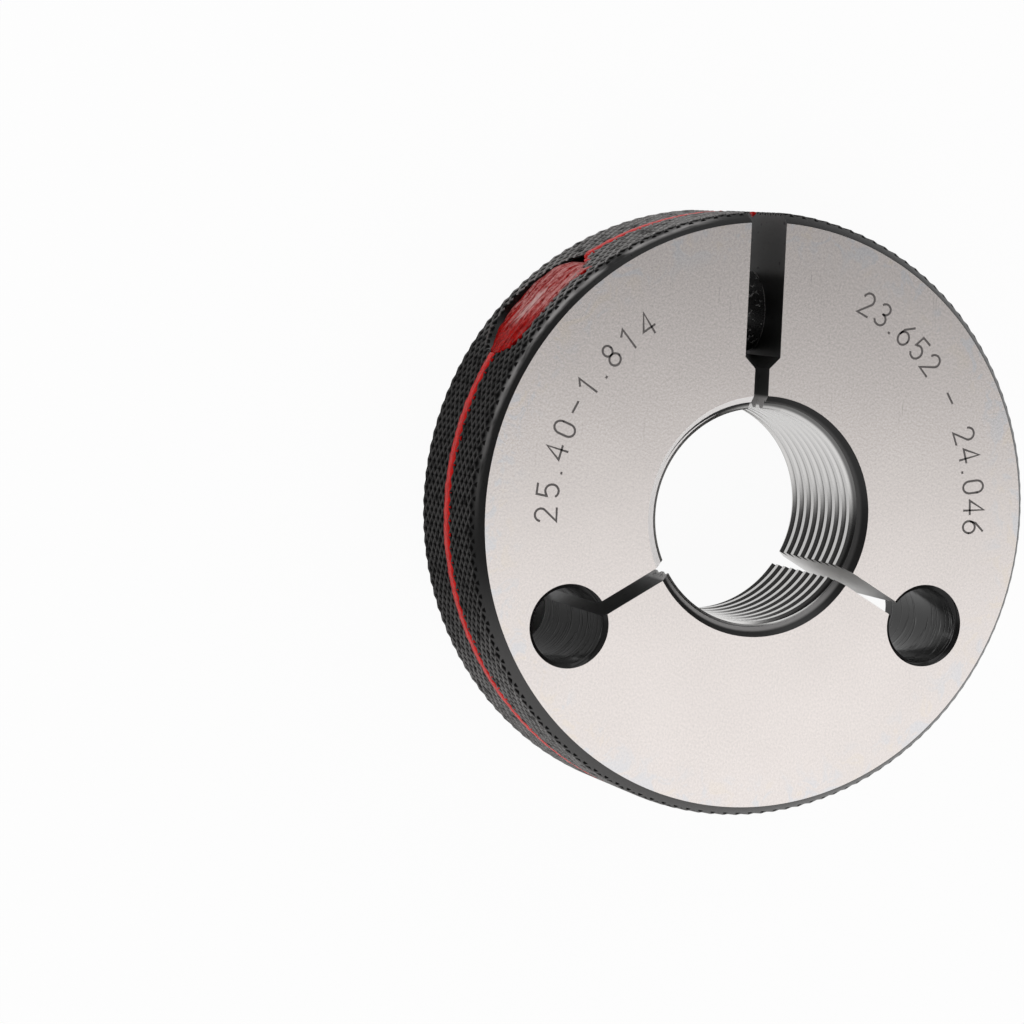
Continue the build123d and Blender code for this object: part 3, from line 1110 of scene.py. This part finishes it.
def arc_stroke(x, y, rx, ry, start, end, steps=14):
    """Points along part of an ellipse, in degrees from +X."""
    turns = [radians(start + (end - start) * k / steps) for k in range(steps + 1)]
    return [(x + rx * cos(turn), y + ry * sin(turn)) for turn in turns]


# Strokes of each sign, in cap heights; a sign is about 0.6 wide and stands on y = 0.
SIGNS = {
    "0": [
        arc_stroke(0, 0.68, 0.27, 0.32, 0, 180)
        + arc_stroke(0, 0.32, 0.27, 0.32, 180, 360)
        + [(0.27, 0.68)]
    ],
    "1": [[(-0.20, 0.78), (0.04, 1.0), (0.04, 0)]],
    "2": [arc_stroke(0, 0.72, 0.27, 0.28, 170, -30) + [(-0.27, 0), (0.29, 0)]],
    "3": [arc_stroke(0, 0.76, 0.25, 0.24, 150, -90), arc_stroke(0, 0.26, 0.28, 0.26, 90, -150)],
    "4": [[(0.14, 0), (0.14, 1.0), (-0.30, 0.30), (0.32, 0.30)]],
    "5": [[(0.25, 1.0), (-0.20, 1.0), (-0.24, 0.52)] + arc_stroke(0, 0.31, 0.28, 0.31, 130, -140)],
    "6": [arc_stroke(0, 0.30, 0.27, 0.30, 0, 360, 24), [(-0.26, 0.36), (-0.20, 0.62), (0.14, 1.0)]],
    "8": [arc_stroke(0, 0.76, 0.22, 0.24, 0, 360, 22), arc_stroke(0, 0.26, 0.27, 0.26, 0, 360, 24)],
    ".": [[(-0.03, 0.03), (0.03, 0.03)]],
    "-": [[(-0.26, 0.48), (0.26, 0.48)]],
}


def ribbon(line):
    """A closed flat ribbon along a line of (x, y) points in millimetres."""
    half = STROKE_WIDTH / 2
    points, faces = [], []
    for i, here in enumerate(line):
        before = here - line[max(i - 1, 0)]
        after = line[min(i + 1, len(line) - 1)] - here
        if before.length == 0:
            here, before = here - after.normalized() * half * 0.6, after
        if after.length == 0:
            here, after = here + before.normalized() * half * 0.6, before
        before, after = before.normalized(), after.normalized()
        along = (before + after).normalized()
        reach = half / max(0.5, sqrt((1 + before.dot(after)) / 2))
        across = Vector((-along.y, along.x)) * reach
        for z in (RING_THICKNESS - STROKE_SINK, RING_THICKNESS + STROKE_RISE):
            points += [(*(here + across), z), (*(here - across), z)]
    for i in range(len(line) - 1):
        a, b = 4 * i, 4 * i + 4
        faces += [(a + 3, b + 3, b + 2, a + 2), (a, b, b + 1, a + 1)]
        faces += [(a + 2, b + 2, b, a), (a + 1, b + 1, b + 3, a + 3)]
    last = 4 * (len(line) - 1)
    faces += [(0, 1, 3, 2), (last + 2, last + 3, last + 1, last)]
    return points, faces


def number_on_arc(name, text, radius, first, step):
    """A number on an arc, read clockwise with its tops outward; first and step are in degrees."""
    points, faces = [], []
    place = 0.0
    for sign in text:
        advance = POINT_ADVANCE if sign == "." else 1.0
        bearing = radians(first - step * (place + advance / 2))
        place += advance
        up = Vector((cos(bearing), sin(bearing)))
        right = Vector((sin(bearing), -cos(bearing)))
        for stroke in SIGNS.get(sign, []):
            line = [up * (radius + y * CAP_HEIGHT) + right * x * CAP_HEIGHT for x, y in stroke]
            more, sides = ribbon(line)
            faces += [tuple(i + len(points) for i in side) for side in sides]
            points += more
    number = make_solid(name, points, faces, [etched_marking])
    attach(number, "root")
    print(name, text, len(faces), "faces")


number_on_arc("left_number", "25.40-1.814", 24.0, 183.0, 5.95)
number_on_arc("right_number", "23.652 - 24.046", 25.2, 66.0, 4.95)

# %% [markdown]
# # The screws and the sleeve
# These stay the frame's own solids. A blacked finish goes into their material slots, so that the
# sleeve can be seen across the slot, and turning marks run round all three.

# %% Dress the screws and the sleeve
for node in ("adjusting_screw", "alignment_sleeve", "locking_screw"):
    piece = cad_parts[node]
    for slot in piece.material_slots:
        slot.material = oxide_screw
    print(node, "has", [slot.name for slot in piece.material_slots])

# %% [markdown]
# # Floor, room and lamp
# The gauge lies on a plain white floor in a pale room. Seen straight on, the floor is pure white
# and holds a faint shadow. The room is bright towards -Y and dim beyond the slot, which gives the
# polished thread something dark to mirror and shades the ground face from one edge to the other.
# One soft lamp lights the rim from the slot's side.

# %% Floor
FLOOR_HALF = 1.5  # metres
FLOOR_GREY = 0.9
FLOOR_GLOW = 0.95
WHITE = (1, 1, 1, 1)
DARK_SPOT = Vector((-21.96, -12.04, 0))  # under the left relief hole, where the floor is in shade
DARK_SPOT_RADIUS = 4.7
MIRRORED_SPOT = 0.3  # how light the spot still is in a mirror


def seen_by(tree, *kinds):
    """1 for the named kinds of ray and 0 for others."""
    path = Wire.node(tree, "ShaderNodeLightPath").socket.node
    wires = [Wire(path.outputs["Is " + kind + " Ray"]) for kind in kinds]
    return sum(wires[1:], wires[0])


def make_floor():
    corners = [(-FLOOR_HALF, -FLOOR_HALF, 0), (FLOOR_HALF, -FLOOR_HALF, 0)]
    corners += [(-x, -y, 0) for x, y, _ in corners]
    mesh = bpy.data.meshes.new("floor")
    mesh.from_pydata(corners, [], [(0, 1, 2, 3)])
    plane = bpy.data.objects.new("floor", mesh)
    bpy.context.scene.collection.objects.link(plane)
    finish = bpy.data.materials.new("pale_floor")
    finish.use_nodes = True
    tree = finish.node_tree
    tree.nodes.clear()
    inputs = {"Color": (FLOOR_GREY, FLOOR_GREY, FLOOR_GREY, 1)}
    matt = Wire.node(tree, "ShaderNodeBsdfDiffuse", None, inputs)
    glow = Wire.node(tree, "ShaderNodeEmission", None, {"Color": WHITE, "Strength": 1.0})
    settings, inputs = {"operation": "DISTANCE"}, {0: place_in_mm(tree), 1: DARK_SPOT}
    away = Wire.node(tree, "ShaderNodeVectorMath", settings, inputs, output="Value")
    away = away.fade(DARK_SPOT_RADIUS, DARK_SPOT_RADIUS + 0.4)
    in_mirrors = away * (1 - MIRRORED_SPOT) + MIRRORED_SPOT
    in_mirrors = seen_by(tree, "Glossy", "Transmission") * in_mirrors
    mask = (seen_by(tree, "Camera") * away + in_mirrors) * FLOOR_GLOW
    mixed = Wire.node(tree, "ShaderNodeMixShader", None, {0: mask, 1: matt, 2: glow})
    Wire.node(tree, "ShaderNodeOutputMaterial", None, {"Surface": mixed})
    mesh.materials.append(finish)
    print("floor:", 2 * FLOOR_HALF, "m across")


make_floor()

# %% Room
BRIGHT_LEVEL = 1.32  # the side of the room towards -Y
MIDDLE_LEVEL = 0.42
DARK_LEVEL = 0.06  # above the camera and beyond the slot
HORIZON_LEVEL = 0.62  # the least at the foot of the walls, all around
WINDOW = Vector((0.62, 0.64, 0.44)).normalized()  # the direction of a soft bright window
WINDOW_LEVEL = 1.1


def make_room():
    room = bpy.data.worlds.new("pale_room")
    bpy.context.scene.world = room
    room.use_nodes = True
    tree = room.node_tree
    tree.nodes.clear()
    ray = Wire.node(tree, "ShaderNodeTexCoord", output=0)
    x, y, z = split_place(tree, ray)
    settings, inputs = {"operation": "DOT_PRODUCT"}, {0: ray, 1: WINDOW}
    window = Wire.node(tree, "ShaderNodeVectorMath", settings, inputs, output="Value")
    level = DARK_LEVEL + x.fade(0.10, 0.42) * (MIDDLE_LEVEL - DARK_LEVEL)
    full = 0.095 + (0 - x).fade(0.0, 0.5) * 0.35
    bright = (z.fade(0.2, 0.7) * 0.3 + 0.7) * BRIGHT_LEVEL
    level = level + (0 - y).fade(0.025, full) * (bright - level)
    level = level.most((0.6 - z).fade(0.05, 0.25) * HORIZON_LEVEL)
    level = level + window.fade(0.91, 0.97) * WINDOW_LEVEL
    shade = Wire.node(tree, "ShaderNodeBackground", None, {"Color": WHITE, "Strength": level})
    white = Wire.node(tree, "ShaderNodeBackground", None, {"Color": WHITE, "Strength": 1.0})
    inputs = {0: seen_by(tree, "Camera", "Transmission"), 1: shade, 2: white}
    mixed = Wire.node(tree, "ShaderNodeMixShader", None, inputs)
    Wire.node(tree, "ShaderNodeOutputWorld", None, {"Surface": mixed})
    print("room:", len(tree.nodes), "shader nodes")


make_room()

# %% Lamp
def make_lamp(name, direction, distance, size, level):
    """A soft round lamp aimed at the ring; level is how bright its disc looks, where 1 is white."""
    light = bpy.data.lights.new(name, "AREA")
    light.shape = "DISK"
    light.size = size
    light.energy = level * pi * pi * (size / 2) ** 2
    lamp = bpy.data.objects.new(name, light)
    lamp.location = Vector(direction).normalized() * distance
    lamp.rotation_mode = "QUATERNION"
    lamp.rotation_quaternion = Vector(direction).to_track_quat("Z", "Y")
    bpy.context.scene.collection.objects.link(lamp)
    print(name, "gives", round(light.energy, 2), "W")


make_lamp("top_lamp", (-0.12, 0.97, 0.20), 0.8, 0.60, 1.2)

# %% [markdown]
# # Camera
# The camera looks down on the ring from the left, through a long lens.

# %% Camera
CAMERA_YAW = 21.3127  # degrees, as are the next two
CAMERA_PITCH = 4.7783
CAMERA_ROLL = -2.4683
FACE_CENTRE_SEEN = (27.143, -0.539, -396.66)  # the middle of the marked face in the camera's axes
LENS = 127.21
SENSOR_WIDTH = 36


def make_camera():
    view = bpy.data.cameras.new("camera")
    view.lens = LENS
    view.sensor_width = SENSOR_WIDTH
    view.clip_start = 0.01
    camera = bpy.data.objects.new("camera", view)
    bpy.context.scene.collection.objects.link(camera)
    yaw = Matrix.Rotation(-radians(CAMERA_YAW), 3, "Y")
    pitch = Matrix.Rotation(-radians(CAMERA_PITCH), 3, "X")
    turn = yaw @ pitch @ Matrix.Rotation(-radians(CAMERA_ROLL), 3, "Z")
    place = Vector((0, 0, RING_THICKNESS)) - turn @ Vector(FACE_CENTRE_SEEN)
    camera.matrix_world = Matrix.Translation(place * MM) @ turn.to_4x4()
    bpy.context.scene.camera = camera
    print("camera at", [round(v, 1) for v in place], "mm")


make_camera()
bpy.context.scene.view_settings.view_transform = "Standard"

# %% [markdown]
# Update the scene


bpy.context.view_layer.update()
